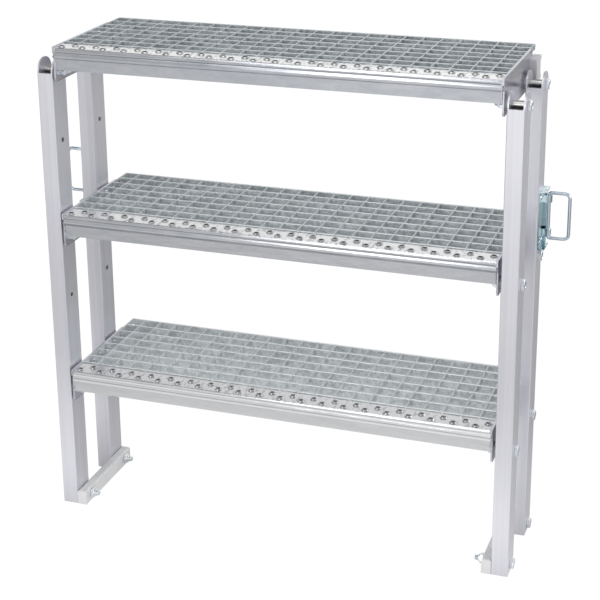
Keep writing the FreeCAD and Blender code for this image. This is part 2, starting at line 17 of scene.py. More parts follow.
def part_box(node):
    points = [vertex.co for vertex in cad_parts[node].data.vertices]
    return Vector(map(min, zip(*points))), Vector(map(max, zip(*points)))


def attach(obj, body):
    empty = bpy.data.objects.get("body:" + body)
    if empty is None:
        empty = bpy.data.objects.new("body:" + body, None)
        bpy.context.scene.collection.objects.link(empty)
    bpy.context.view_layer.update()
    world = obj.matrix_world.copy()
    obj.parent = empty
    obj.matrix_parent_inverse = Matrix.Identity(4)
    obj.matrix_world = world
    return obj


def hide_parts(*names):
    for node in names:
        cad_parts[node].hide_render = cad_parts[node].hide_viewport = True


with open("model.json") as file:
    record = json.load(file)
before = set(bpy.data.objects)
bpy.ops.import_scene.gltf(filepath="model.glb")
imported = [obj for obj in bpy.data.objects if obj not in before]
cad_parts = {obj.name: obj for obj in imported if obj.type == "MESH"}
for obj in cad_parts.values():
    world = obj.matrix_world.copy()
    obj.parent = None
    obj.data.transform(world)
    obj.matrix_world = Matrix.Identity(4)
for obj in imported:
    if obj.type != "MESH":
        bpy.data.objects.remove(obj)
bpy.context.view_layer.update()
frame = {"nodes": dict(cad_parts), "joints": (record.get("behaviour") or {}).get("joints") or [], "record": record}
MM = 0.001
TREADS = ("lower", "middle", "upper")
SIDES = (-1, 1)
UP = Vector((0, 0, 1))


# ---------------------------------------------------------------- material helpers
# Heights over which the painted light and shade on the zinc changes from the lowest tread to the top one.
LOWEST_TREAD_Z, TOP_TREAD_Z = 0.28, 0.88
# The nosing's front, and a depth behind it that parts its face from the painted shade in the first grip holes.
NOSING_FRONT_Y, NOSING_FACE_DEEP = -0.135, 6.5 * MM


class Surface:
    """A node material built step by step around one Principled shader."""

    def __init__(self, name, **sockets):
        self.material = bpy.data.materials.new(name)
        self.material.use_nodes = True
        self.tree = self.material.node_tree
        self.tree.nodes.clear()
        output = self.tree.nodes.new("ShaderNodeOutputMaterial")
        self.shader = self.tree.nodes.new("ShaderNodeBsdfPrincipled")
        self.tree.links.new(self.shader.outputs["BSDF"], output.inputs["Surface"])
        for socket, value in sockets.items():
            self.shader.inputs[socket.replace("_", " ")].default_value = value
        coordinates = self.tree.nodes.new("ShaderNodeTexCoord")
        self.place = coordinates.outputs["Object"]
        self.normal = coordinates.outputs["Normal"]

    def link(self, source, target):
        self.tree.links.new(source, target)

    def node(self, kind, inputs=None, **settings):
        """New node; inputs may be sockets to link or plain values."""
        made = self.tree.nodes.new("ShaderNode" + kind)
        for name, value in settings.items():
            setattr(made, name, value)
        for name, value in (inputs or {}).items():
            if isinstance(value, bpy.types.NodeSocket):
                self.link(value, made.inputs[name])
            else:
                made.inputs[name].default_value = value
        return made

    def stretched(self, scale):
        """Object coordinates scaled along each axis, per metre."""
        return self.node("Mapping", {"Vector": self.place, "Scale": scale}).outputs["Vector"]

    def noise(self, scale, detail=3.0, roughness=0.55):
        """Noise between 0 and 1; scale is one number or one for each axis, per metre."""
        vector = self.stretched(scale if isinstance(scale, tuple) else (scale,) * 3)
        made = self.node("TexNoise", {"Vector": vector, "Scale": 1.0, "Detail": detail,
                                      "Roughness": roughness})
        return made.outputs["Fac"]

    def cells(self, scale):
        """Random value, constant over each Voronoi cell."""
        made = self.node("TexVoronoi", {"Vector": self.stretched((scale,) * 3), "Scale": 1.0,
                                        "Randomness": 1.0})
        split = self.node("SeparateColor", {"Color": made.outputs["Color"]})
        return split.outputs["Red"]

    def facing_up(self):
        """1 on faces that look up, 0 on upright ones."""
        split = self.node("SeparateXYZ", {"Vector": self.normal})
        return self.spread(split.outputs["Z"], 0.0, 1.0, 0.5, 0.95)

    def lowness(self):
        """0 on the top tread, 1 on the lowest one."""
        height = self.node("SeparateXYZ", {"Vector": self.place}).outputs["Z"]
        return self.spread(height, 1.0, 0.0, LOWEST_TREAD_Z, TOP_TREAD_Z)

    def behind_front(self):
        """1 in the grip holes and on the nosing's back, 0 on its front face."""
        depth = self.node("SeparateXYZ", {"Vector": self.place}).outputs["Y"]
        return self.math("GREATER_THAN", depth, NOSING_FRONT_Y + NOSING_FACE_DEEP)

    def spread(self, value, low, high, source_low=0.3, source_high=0.7):
        """Value mapped from one range to another, clamped."""
        made = self.node("MapRange", {"Value": value, "From Min": source_low,
                                      "From Max": source_high, "To Min": low, "To Max": high})
        return made.outputs["Result"]

    def math(self, operation, first, second):
        """One arithmetic step on two sockets or plain numbers."""
        made = self.node("Math", operation=operation)
        for socket, value in zip(made.inputs, (first, second)):
            if isinstance(value, bpy.types.NodeSocket):
                self.link(value, socket)
            else:
                socket.default_value = value
        return made.outputs["Value"]

    def colours(self, value, stops):
        """Colour ramp over a value; stops are (position, colour) pairs."""
        made = self.node("ValToRGB", {"Fac": value})
        ramp = made.color_ramp
        while len(ramp.elements) < len(stops):
            ramp.elements.new(0.5)
        for element, (position, colour) in zip(ramp.elements, stops):
            element.position = position
            element.color = (*colour, 1.0)
        return made.outputs["Color"]

    def mix(self, factor, first, second):
        """First colour where the factor is 0, second where it is 1."""
        made = self.node("Mix", data_type="RGBA", blend_type="MIX")
        for name, value in (("Factor", factor), ("A", first), ("B", second)):
            sockets = [s for s in made.inputs if s.name == name and s.enabled]
            if isinstance(value, bpy.types.NodeSocket):
                self.link(value, sockets[0])
            else:
                sockets[0].default_value = value
        return next(s for s in made.outputs if s.name == "Result" and s.enabled)

    def blend(self, first, second, share):
        """Weighted sum of two values."""
        return self.math("ADD", self.math("MULTIPLY", first, share),
                         self.math("MULTIPLY", second, 1.0 - share))

    def paint(self, colour):
        self.link(colour, self.shader.inputs["Base Color"])

    def rough(self, value):
        self.link(value, self.shader.inputs["Roughness"])

    def bump(self, height, strength, distance):
        """Relief from a height; the distance is in metres."""
        made = self.node("Bump", {"Height": height, "Strength": strength, "Distance": distance})
        self.link(made.outputs["Normal"], self.shader.inputs["Normal"])


def extruded_aluminium():
    """Satin aluminium with fine die lines along the rail and faint handling marks."""
    made = Surface("extruded_aluminium", Metallic=0.7, IOR=1.6)
    lines = made.noise((520.0, 520.0, 1.6), detail=4.0, roughness=0.7)
    bands = made.noise((120.0, 120.0, 0.9), detail=2.0)
    clouds = made.noise(7.0, detail=4.0)
    made.paint(made.colours(made.blend(bands, clouds, 0.6),
                            [(0.3, (0.68, 0.68, 0.74)), (0.5, (0.74, 0.74, 0.79)),
                             (0.7, (0.79, 0.79, 0.83))]))
    made.rough(made.spread(lines, 0.32, 0.46))
    made.bump(lines, 0.25, 0.00012)
    return made.material


def galvanised_grating(name, painted_top_highlight):
    """Hot-dip zinc on the bars: crystal spangle and bloom, with a painted highlight on the faces that look up.

    The walls are painted lighter towards the lower treads: painted light.
    """
    made = Surface(name, Metallic=0.6)
    crystal = made.cells(190.0)
    bloom = made.noise(26.0, detail=5.0, roughness=0.6)
    tone = made.blend(crystal, bloom, 0.35)
    walls = made.colours(tone, [(0.25, (0.39, 0.43, 0.45)), (0.75, (0.65, 0.69, 0.71))])
    painted_lighter_walls = made.colours(tone, [(0.25, (0.58, 0.62, 0.63)), (0.75, (0.86, 0.89, 0.90))])
    # Painted light: the walls turn lighter towards the lower treads.
    walls = made.mix(made.lowness(), walls, painted_lighter_walls)
    # Painted highlight: faces that look up take the light top colour.
    made.paint(made.mix(made.facing_up(), walls, (*painted_top_highlight, 1.0)))
    made.rough(made.spread(tone, 0.32, 0.50))
    made.bump(made.noise(60.0, detail=3.0), 0.3, 0.0005)
    return made.material


def galvanised_nosing():
    """Smooth, glossy zinc: slow waves down the front, a painted highlight with painted glints that makes the top
    strip near-white, painted shade in the grip holes.

    On the lower treads the front is painted lighter and the strip painted darker.
    """
    made = Surface("galvanised_nosing", Metallic=0.85)
    up = made.facing_up()
    drift = made.noise((2.4, 8.0, 8.0), detail=1.0)
    runs = made.noise((14.0, 60.0, 60.0), detail=2.0)
    dents_and_glints = made.noise((150.0, 50.0, 50.0), detail=3.0)
    clouds = made.noise((30.0, 90.0, 90.0), detail=5.0, roughness=0.65)
    front = made.colours(made.blend(made.blend(drift, runs, 0.7), clouds, 0.65),
                         [(0.3, (0.34, 0.36, 0.40)), (0.7, (0.54, 0.55, 0.57))])
    low = made.lowness()
    # Painted light: the front turns lighter on the lower treads.
    painted_light_share = made.math("MULTIPLY", made.math("MULTIPLY", low, low), 0.5)
    front = made.mix(painted_light_share, front, (0.95, 0.95, 0.95, 1.0))
    # Painted shade: a flat grey in the grip holes and on the nosing's back.
    front = made.mix(made.behind_front(), front, (0.40, 0.42, 0.43, 1.0))
    # Painted highlight: the top strip near-white, with painted glints from the same noise that gives the bump.
    strip = made.colours(dents_and_glints, [(0.36, (0.55, 0.56, 0.56)), (0.46, (0.97, 0.97, 0.97))])
    # Painted shade: the strip turns darker on the lower treads.
    strip = made.mix(made.math("MULTIPLY", low, 0.55), strip, (0.50, 0.50, 0.52, 1.0))
    made.paint(made.mix(up, front, strip))
    made.rough(made.spread(runs, 0.15, 0.25))
    height = made.math("ADD", made.math("MULTIPLY", runs, 0.35),
                       made.math("MULTIPLY", dents_and_glints, made.math("MULTIPLY", up, 1.6)))
    made.bump(height, 0.5, 0.0012)
    return made.material


def galvanised_plate():
    """Glossy zinc on rolled plate: slow waves, large faint crystals, a lavender cast."""
    made = Surface("galvanised_plate", Metallic=0.9)
    crystal = made.cells(110.0)
    drift = made.noise(14.0, detail=3.0)
    waves = made.noise(30.0, detail=1.0)
    made.paint(made.colours(made.blend(crystal, drift, 0.25),
                            [(0.25, (0.52, 0.52, 0.58)), (0.75, (0.66, 0.66, 0.72))]))
    made.rough(made.spread(drift, 0.15, 0.27))
    made.bump(waves, 0.4, 0.0007)
    return made.material


def zinc_plate(name, colour, roughness):
    """Bright plated zinc with a faint bluish passivation in patches."""
    made = Surface(name, Metallic=0.95)
    clouds = made.noise(160.0, detail=3.0)
    fine = made.noise(1500.0, detail=2.0)
    bluer = (0.88 * colour[0], 0.94 * colour[1], colour[2])
    made.paint(made.colours(clouds, [(0.35, bluer), (0.65, colour)]))
    made.rough(made.spread(fine, roughness - 0.06, roughness + 0.08))
    made.bump(fine, 0.12, 0.0001)
    return made.material


def handle_plating():
    """Glossy blue-passivated zinc on the folded bracket, with dark streaks down the folds."""
    made = Surface("handle_zinc", Metallic=1.0)
    streaks = made.noise((160.0, 160.0, 9.0), detail=2.0, roughness=0.4)
    clouds = made.noise(60.0, detail=3.0)
    made.paint(made.colours(streaks, [(0.38, (0.30, 0.40, 0.44)), (0.46, (0.58, 0.71, 0.76)),
                                      (0.60, (0.80, 0.90, 0.93))]))
    made.rough(made.spread(clouds, 0.12, 0.24))
    made.bump(streaks, 0.3, 0.0006)
    return made.material


def moulded_plastic(name, colour, roughness):
    """Milky moulded plastic with a fine grain."""
    made = Surface(name, Subsurface_Weight=0.10, Subsurface_Scale=0.004,
                   Subsurface_Radius=(1.0, 1.0, 1.0), IOR=1.5)
    grain = made.noise(1100.0, detail=2.0)
    clouds = made.noise(30.0, detail=3.0)
    darker = tuple(0.94 * part for part in colour)
    made.paint(made.colours(clouds, [(0.3, darker), (0.7, colour)]))
    made.rough(made.spread(grain, roughness - 0.05, roughness + 0.07))
    made.bump(grain, 0.15, 0.00015)
    return made.material


MATERIALS = {
    "rail_aluminium": extruded_aluminium(),
    # The second value is the colour of the painted highlight on faces that look up.
    "galvanised_grating": galvanised_grating("galvanised_grating", (0.92, 0.94, 0.95)),
    "galvanised_nosing": galvanised_nosing(),
    "galvanised_plate": galvanised_plate(),
    "zinc_fasteners": zinc_plate("zinc_fasteners", (0.86, 0.87, 0.88), 0.22),
    "sleeve_steel": zinc_plate("sleeve_steel", (0.64, 0.62, 0.59), 0.24),
    "handle_zinc": handle_plating(),
    "bail_wire": zinc_plate("bail_wire", (0.66, 0.72, 0.78), 0.16),
    "foot_plastic": moulded_plastic("foot_plastic", (0.80, 0.80, 0.81), 0.38),
    "spacer_nylon": moulded_plastic("spacer_nylon", (0.86, 0.86, 0.84), 0.42),
    "stop_plastic": moulded_plastic("stop_plastic", (0.62, 0.61, 0.65), 0.42),
}


def dress_cad_nodes():
    """Give every CAD node the material of its slot; the cross bars get a copy with a dimmer painted highlight on
    top.
    """
    # Copy of the grating zinc with a dimmer painted highlight on top, for the cross bars.
    dim_highlight_grating = galvanised_grating("galvanised_cross_bars", (0.68, 0.71, 0.73))
    for entry in frame["record"]["subparts"]:
        node = frame["nodes"][entry["node"]]
        node.data.materials.clear()
        cross = entry["node"].endswith("_cross_bars")
        node.data.materials.append(dim_highlight_grating if cross else MATERIALS[entry["material_slot"]])


dress_cad_nodes()


# ---------------------------------------------------------------- mesh helpers
SHARP_ANGLE = math.radians(35)


class Solids:
    """Closed solids gathered into one mesh; every length is in metres."""

    def __init__(self):
        self.mesh = bmesh.new()

    def skin(self, rings):
        """Join a row of equal rings of points and close both ends."""
        rows = [[self.mesh.verts.new(point) for point in ring] for ring in rings]
        count = len(rows[0])
        for near, far in zip(rows, rows[1:]):
            for i in range(count):
                j = (i + 1) % count
                self.mesh.faces.new((near[i], near[j], far[j], far[i]))
        self.mesh.faces.new(rows[0][::-1])
        self.mesh.faces.new(rows[-1])

    def turned(self, place, profile, segments=32, reach=None):
        """Solid turned about the local Z axis; profile gives (height, radius) pairs.

        reach(radius, height, angle) may change the radius, as for a hexagon or a thread.
        """
        rings = []
        for height, radius in profile:
            ring = []
            for i in range(segments):
                angle = math.tau * i / segments
                out = reach(radius, height, angle) if reach else radius
                ring.append(place @ Vector((out * math.cos(angle), out * math.sin(angle), height)))
            rings.append(ring)
        self.skin(rings)

    def tube(self, points, radii, sides=8):
        """Round bar through the points, each with its own radius."""
        rings = []
        for i, (point, radius) in enumerate(zip(points, radii)):
            ahead = points[min(i + 1, len(points) - 1)] - points[max(i - 1, 0)]
            ahead.normalize()
            across = Vector((0, 1, 0)) if abs(ahead.x) > 0.9 else Vector((1, 0, 0))
            across = (across - ahead * across.dot(ahead)).normalized()
            other = ahead.cross(across)
            rings.append([point + radius * (math.cos(turn) * across + math.sin(turn) * other)
                          for turn in (math.tau * j / sides for j in range(sides))])
        self.skin(rings)

    def loop(self, ring, centre, radius, sides=8):
        """Closed round bar through a level ring of points around a centre."""
        rows = []
        for point in ring:
            out = Vector((point.x - centre.x, point.y - centre.y, 0)).normalized()
            rows.append([self.mesh.verts.new(point + radius * (math.cos(turn) * out
                                                               + math.sin(turn) * UP))
                         for turn in (math.tau * j / sides for j in range(sides))])
        for near, far in zip(rows, rows[1:] + rows[:1]):
            for i in range(sides):
                j = (i + 1) % sides
                self.mesh.faces.new((near[i], near[j], far[j], far[i]))

    def finish(self, name, body, slot, replaced=()):
        """Make the piece: it rides on a body and takes the finish of a slot."""
        bmesh.ops.recalc_face_normals(self.mesh, faces=self.mesh.faces)
        mesh = bpy.data.meshes.new(name)
        self.mesh.to_mesh(mesh)
        self.mesh.free()
        mesh.polygons.foreach_set("use_smooth", [True] * len(mesh.polygons))
        mesh.set_sharp_from_angle(angle=SHARP_ANGLE)
        mesh.materials.append(MATERIALS[slot])
        piece = bpy.data.objects.new(name, mesh)
        bpy.context.collection.objects.link(piece)
        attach(piece, body)
        if replaced:
            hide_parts(*replaced)


def outwards(x, y, z):
    """Placement whose local Z points away from the middle of the block along X."""
    side = math.copysign(1.0, x)
    return Matrix.Translation((x, y, z)) @ Matrix.Rotation(side * math.pi / 2, 4, "Y")


def hexagon(flats):
    """Radius of a hexagon with the given width across flats, one flat facing up."""
    def reach(radius, height, angle):
        turn = (angle + math.pi / 6) % (math.pi / 3) - math.pi / 6
        return min(radius, flats / 2 / math.cos(turn))
    return reach


def thread(pitch, depth):
    """Radius of a screw thread: a ridge that climbs one pitch each turn."""
    def reach(radius, height, angle):
        phase = (height / pitch - angle / math.tau) % 1.0
        return radius - depth * abs(2 * phase - 1)
    return reach


# ---------------------------------------------------------------- places from the frame
JOINTS = {joint["name"]: Vector(joint["pos_m"]) for joint in frame["joints"]}
FRONT_Y, REAR_Y = JOINTS["lean"].y, JOINTS["rear_lean"].y
FOOT_Z = JOINTS["lean"].z


def corners(node):
    """Lowest and highest corner of a CAD node's box."""
    return [Vector(corner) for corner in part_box(node)]


# ---------------------------------------------------------------- bolts, nuts and rivets
HEAD_HIGH, HEAD_FLATS, HEAD_ROUND = 6.4 * MM, 17 * MM, 8.0 * MM
WASHER_FACE, HEAD_DISH = 0.5 * MM, 0.35 * MM
DISH_START, DISH_EDGE = 0.82, 0.76
BOLT_RADIUS, THREAD_PITCH, THREAD_DEPTH = 5 * MM, 1.5 * MM, 0.85 * MM
THREAD_LONG, THREAD_POINT, RINGS_PER_TURN = 24 * MM, 1 * MM, 6
PIVOT_BOLT_LONG, FOOT_BOLT_LONG = 55 * MM, 65 * MM
NUT_HIGH, NUT_COLLAR, COLLAR_RADIUS = 10 * MM, 3 * MM, 7.25 * MM
ROLL_RADIUS, ROLL_LIP, ROLL_DEEP = 6.7 * MM, 0.3 * MM, 0.9 * MM
INSERT_RADIUS, INSERT_STEP, INSERT_PROUD, INSERT_DEEP = 6.1 * MM, 0.4 * MM, 0.05 * MM, 0.5 * MM
HEX_SEGMENTS, ROUND_SEGMENTS = 72, 48
CORNER_ANGLE, CORNER_STEPS = math.radians(30), 4


def chamfered(low, high, flat_radius, both_ends):
    """Profile of a hexagon whose corners are turned off at 30 degrees."""
    corner = HEAD_FLATS / math.sqrt(3)
    slope = math.tan(CORNER_ANGLE)
    steps = [flat_radius + (corner - flat_radius) * i / CORNER_STEPS
             for i in range(CORNER_STEPS + 1)]
    top = [(high - (radius - flat_radius) * slope, radius) for radius in reversed(steps)]
    if both_ends:
        return [(low + (radius - flat_radius) * slope, radius) for radius in steps] + top
    return [(low, corner)] + top


def add_bolt(solids, x_seat, y, z, long):
    """Hexagon bolt with a dished head, a plain shank and a threaded end."""
    place = outwards(x_seat, y, z)
    solids.turned(place, [(0, HEAD_ROUND), (WASHER_FACE, HEAD_ROUND)], ROUND_SEGMENTS)
    head = chamfered(WASHER_FACE, HEAD_HIGH, HEAD_ROUND, False)
    head += [(HEAD_HIGH, DISH_START * HEAD_ROUND),
             (HEAD_HIGH - HEAD_DISH, DISH_EDGE * HEAD_ROUND)]
    solids.turned(place, head, HEX_SEGMENTS, hexagon(HEAD_FLATS))
    solids.turned(place, [(THREAD_LONG - long, BOLT_RADIUS), (0, BOLT_RADIUS)])
    full = THREAD_LONG - THREAD_POINT
    count = round(full / THREAD_PITCH * RINGS_PER_TURN)
    rings = [(-long, BOLT_RADIUS - THREAD_POINT)]
    rings += [(THREAD_POINT - long + full * i / count, BOLT_RADIUS) for i in range(count + 1)]
    solids.turned(place, rings, 24, thread(THREAD_PITCH, THREAD_DEPTH))


def add_nut(solids, inserts, x_seat, y, z):
    """Locking nut with its collar rolled in over a plastic insert; it sits inside x_seat."""
    place = outwards(x_seat, y, z)
    body = chamfered(NUT_COLLAR - NUT_HIGH, 0, HEAD_ROUND, True)
    solids.turned(place, body, HEX_SEGMENTS, hexagon(HEAD_FLATS))
    collar = [(-NUT_HIGH, INSERT_RADIUS), (ROLL_LIP - NUT_HIGH, ROLL_RADIUS),
              (ROLL_DEEP - NUT_HIGH, COLLAR_RADIUS), (NUT_COLLAR - NUT_HIGH, COLLAR_RADIUS)]
    solids.turned(place, collar, ROUND_SEGMENTS)
    inserts.turned(place, [(-NUT_HIGH - INSERT_PROUD, INSERT_RADIUS - INSERT_STEP),
                           (INSERT_DEEP - NUT_HIGH, INSERT_RADIUS)], ROUND_SEGMENTS)


def make_fasteners(prefix, body, heights, long, seat_box, nut_box):
    """Detailed bolts, nuts and inserts in place of a group of plain ones."""
    bolts, nuts, inserts = Solids(), Solids(), Solids()
    seat = corners(seat_box)[1].x - HEAD_HIGH
    nut_seat = corners(nut_box)[1].x
    for side in SIDES:
        for y in (FRONT_Y, REAR_Y):
            for z in heights:
                add_bolt(bolts, side * seat, y, z, long)
                add_nut(nuts, inserts, side * nut_seat, y, z)
    bolts.finish(prefix + "_bolts_fine", body, "zinc_fasteners", [seat_box])
    nuts.finish(prefix + "_nuts_fine", body, "zinc_fasteners", [nut_box])
    inserts.finish(prefix + "_nut_inserts", body, "spacer_nylon")


for tread in TREADS:
    height = JOINTS[tread + "_tread_pivot"].z
    make_fasteners(tread + "_pivot", tread + "_tread", [height], PIVOT_BOLT_LONG,
                   tread + "_pivot_bolts", tread + "_pivot_nuts")
make_fasteners("foot", "base", [FOOT_Z], FOOT_BOLT_LONG, "foot_bolts", "foot_nuts")


RIVET_RADIUS, RIVET_DOME, RIVET_SHANK = 5 * MM, 2.4 * MM, 5 * MM
# Height in millimetres and share of the radius, from the rim over the crown to the mandrel.
RIVET_PROFILE = ((0, 1.0), (0.5, 0.97), (1.2, 0.85), (1.9, 0.62), (2.3, 0.36), (2.3, 0.30),
                 (1.9, 0.26), (1.9, 0.22), (2.1, 0.10))


def make_rivets():
    """Domed blind rivets with the broken mandrel showing in a dimple."""
    low, high = corners("handle_rivets")
    radius, seat = RIVET_RADIUS, high.x - RIVET_DOME
    dome = [(height * MM, share * radius) for height, share in RIVET_PROFILE]
    solids = Solids()
    for side in SIDES:
        for y in (low.y + radius, high.y - radius):
            for z in (low.z + radius, high.z - radius):
                place = outwards(side * seat, y, z)
                solids.turned(place, dome)
                solids.turned(place, [(-RIVET_SHANK, radius / 2), (0, radius / 2)], 24)
    solids.finish("handle_rivets_fine", "rear_rails", "handle_zinc", ["handle_rivets"])


make_rivets()


# ---------------------------------------------------------------- zinc on the treads
BAR_THICK, CROSS_DEEP = 2 * MM, 10 * MM
BEARING_BARS, CROSS_SIDE, CROSS_PITCH = 7, 11, 33.7 * MM
GRIP_PITCH, GRIP_ROWS = 40 * MM, ((13 * MM, 0.25), (27 * MM, 0.75))
EDGE_RADIUS, EDGE_PROUD = 0.8 * MM, 0.35 * MM
FILLET_RADIUS, FILLET_AWAY, FILLET_DROP = 1.2 * MM, 0.25 * MM, 0.8 * MM
RIM_RADIUS, RIM_CLEAR, RIM_TILT, RIM_POINTS = 5.3 * MM, 1.05, 0.5 * MM, 24
WELD_DROP, WELD_ASIDE, WELD_SIDES = 7 * MM, 1.2 * MM, 10
# The weld along a nosing's end, as (behind the front, above the top) in millimetres: over the
# brow, the ridge and the groove, and on down the hem in even steps.
NOSING_WELD = ((4, -2.2), (1.9, -5), (2.4, -11), (1.8, -16), (2.2, -21))
HEM_DEPTH, HEM_TOP, HEM_STEP, HEM_STEPS = 2.4, -21, 3, 7


def bar_places(tread):
    """Centres of the bearing bars along Y and of the cross bars along X."""
    low, high = corners(tread + "_bearing_bars")
    half = BAR_THICK / 2
    step = (high.y - low.y - BAR_THICK) / (BEARING_BARS - 1)
    bearing = [low.y + half + i * step for i in range(BEARING_BARS)]
    cross = [i * CROSS_PITCH for i in range(-CROSS_SIDE, CROSS_SIDE + 1)]
    return bearing, [low.x + half] + cross + [high.x - half]


def make_zinc_edges(tread):
    """Rounded bead of zinc along both upper edges of every bearing bar and the rear bar."""
    bearing, _ = bar_places(tread)
    low, high = corners(tread + "_bearing_bars")
    z = high.z - EDGE_RADIUS
    out = BAR_THICK / 2 + EDGE_PROUD - EDGE_RADIUS
    rear = corners(tread + "_rear_bar")[0].y - EDGE_PROUD + EDGE_RADIUS
    solids = Solids()
    for y in [y + side * out for side in SIDES for y in bearing] + [rear]:
        solids.tube([Vector((x, y, z)) for x in (low.x, high.x)], [EDGE_RADIUS] * 2)
    solids.finish(tread + "_zinc_edges", tread + "_tread", "galvanised_grating")


def make_zinc_fillets(tread):
    """Zinc drawn into the corners where the bars cross."""
    bearing, cross = bar_places(tread)
    rear = corners(tread + "_rear_bar")[0].y + BAR_THICK / 2
    top = corners(tread + "_bearing_bars")[1].z
    away = BAR_THICK / 2 + FILLET_AWAY
    draw = random.Random(TREADS.index(tread))
    solids = Solids()
    for y in bearing + [rear]:
        for x in cross:
            for side in SIDES:
                for face in (-1,) if y == rear else SIDES:
                    radius = FILLET_RADIUS * draw.uniform(0.75, 1.15)
                    spot = Vector((x + side * away, y + face * away, top - FILLET_DROP))
                    foot = spot - Vector((0, 0, CROSS_DEEP * draw.uniform(0.9, 1.15)))
                    waist = spot.lerp(foot, 0.5)
                    solids.tube([spot, waist, foot], [radius, 0.8 * radius, 0.5 * radius], 6)
    solids.finish(tread + "_zinc_fillets", tread + "_tread", "galvanised_grating")


def make_grip_rims(tread):
    """Uneven lip around every grip hole."""
    low, high = corners(tread + "_nosing")
    draw = random.Random(20 + TREADS.index(tread))
    solids = Solids()
    count = round((high.x - low.x) / GRIP_PITCH)
    for depth, offset in GRIP_ROWS:
        for i in range(count):
            spot = Vector((low.x + (i + offset) * GRIP_PITCH, low.y + depth, high.z))
            size, lift = draw.uniform(0.35, 0.75) * MM, draw.uniform(0.5, 1.0)
            wave, start = draw.uniform(0.1, 0.4) * MM, draw.uniform(0, math.tau)
            ring = []
            for turn in (math.tau * j / RIM_POINTS for j in range(RIM_POINTS)):
                away = RIM_RADIUS + wave * math.sin(2 * turn + start)
                sink = RIM_CLEAR * size + RIM_TILT * lift * (1 + math.sin(turn + start))
                ring.append(spot + Vector((away * math.cos(turn), away * math.sin(turn), -sink)))
            solids.loop(ring, spot, size)
    solids.finish(tread + "_grip_rims", tread + "_tread", "galvanised_nosing")


def make_plate_welds(tread):
    """Weld at each bearing bar's end, and a bead down the nosing, against the side plates."""
    bearing, _ = bar_places(tread)
    plate = corners(tread + "_bearing_bars")[1]
    low, high = corners(tread + "_nosing")
    draw = random.Random(10 + TREADS.index(tread))
    solids = Solids()
    for side in SIDES:
        inner = side * (plate.x - BAR_THICK)
        for y in bearing:
            for face in SIDES:
                long = draw.uniform(5, 9) * MM
                size = draw.uniform(2.2, 3.2) * MM
                spots = [Vector((inner - side * long * part, y + face * WELD_ASIDE,
                                 plate.z - WELD_DROP - draw.uniform(0, 2) * MM))
                         for part in (0.0, 0.35, 0.7, 1.0)]
                solids.tube(spots, [size, 0.9 * size, 0.6 * size, 0.15 * size], WELD_SIDES)
        x = side * (high.x - WELD_ASIDE)
        rear = [((high.y - low.y) / MM - 2, NOSING_WELD[0][1])]
        hem = [(HEM_DEPTH, HEM_TOP - HEM_STEP * i) for i in range(1, HEM_STEPS + 1)]
        spots = [Vector((x + draw.uniform(-0.3, 0.3) * MM, low.y + y * MM, high.z + z * MM))
                 for y, z in (*rear, *NOSING_WELD, *hem)]
        solids.tube(spots, [draw.uniform(1.2, 1.8) * MM for _ in spots], WELD_SIDES)
    solids.finish(tread + "_plate_welds", tread + "_tread", "galvanised_plate")


for tread in TREADS:
    make_zinc_edges(tread)
    make_zinc_fillets(tread)
    make_grip_rims(tread)
    make_plate_welds(tread)


# ---------------------------------------------------------------- studio
# Brightness that the metal mirrors. The sky is bright low down, most of all to the right,
# and dims between two heights of the direction to its level overhead.
SKY_LEVEL, SKY_RIGHT, SKY_BACK = 0.94, 0.40, 0.10
SKY_DIM_FROM, SKY_DIM_TO, SKY_OVERHEAD = 0.40, 0.80, 0.38
# The paper is bright in front of the block and dim behind it, and the change lies between two
# places along Y. It falls off to both sides of its middle, and there's a dimmer band about a
# metre away.
PAPER_FRONT, PAPER_BACK = 1.12, 0.44
PAPER_TURN = (-0.4, 0.1)
PAPER_MIDDLE, PAPER_SIDE_FALL = 0.2, 0.13
BAND_PLACE, BAND_REACH, BAND_DEPTH = 1.04, 0.80, 0.88
PAPER_LOWEST = 0.20
# The paper as the camera sees it: its own glow, and the share of light it scatters.
PAPER_GLOW, PAPER_ALBEDO = 0.95, 0.12
FLOOR_HALF = 14.0
# Name, place, target, width, height and watts of every light.
LIGHTS = (
    ("key_light", (-0.75, -2.6, 2.6), (0, 0, 0.45), 0.9, 1.6, 12),
    ("top_light", (0.1, -0.85, 3.0), (0, 0, 0.4), 1.9, 1.0, 9),
    ("front_card", (-0.42, -2.3, 1.15), (0.1, 0, 0.8), 0.55, 0.8, 6),
    ("side_card", (1.9, 0.9, 1.15), (0.45, 0.05, 0.8), 0.7, 0.5, 5),
)
CAMERA_PLACE = (0.8941, -2.5279, 1.4989)
CAMERA_TURN, CAMERA_TILT, CAMERA_ROLL = (math.radians(angle) for angle in (19.30, 18.52, -0.51))
CAMERA_LENS, CAMERA_SENSOR, CAMERA_SHIFT = 93.61, 36.0, -0.15


class Formula:
    """Arithmetic in a node tree, on sockets and plain numbers."""

    def __init__(self, tree):
        self.tree = tree

    def math(self, operation, *values):
        """One arithmetic step."""
        made = self.tree.nodes.new("ShaderNodeMath")
        made.operation = operation
        for socket, value in zip(made.inputs, values):
            if isinstance(value, bpy.types.NodeSocket):
                self.tree.links.new(value, socket)
            else:
                socket.default_value = value
        return made.outputs["Value"]

    def ease(self, value, source, target):
        """Smooth change from one range to another."""
        made = self.tree.nodes.new("ShaderNodeMapRange")
        made.interpolation_type = "SMOOTHSTEP"
        self.tree.links.new(value, made.inputs["Value"])
        numbers = (*source, *target)
        for name, number in zip(("From Min", "From Max", "To Min", "To Max"), numbers):
            made.inputs[name].default_value = number
        return made.outputs["Result"]

    def parts(self, vector):
        """X, Y and Z of a vector."""
        split = self.tree.nodes.new("ShaderNodeSeparateXYZ")
        self.tree.links.new(vector, split.inputs["Vector"])
        return [split.outputs[axis] for axis in "XYZ"]


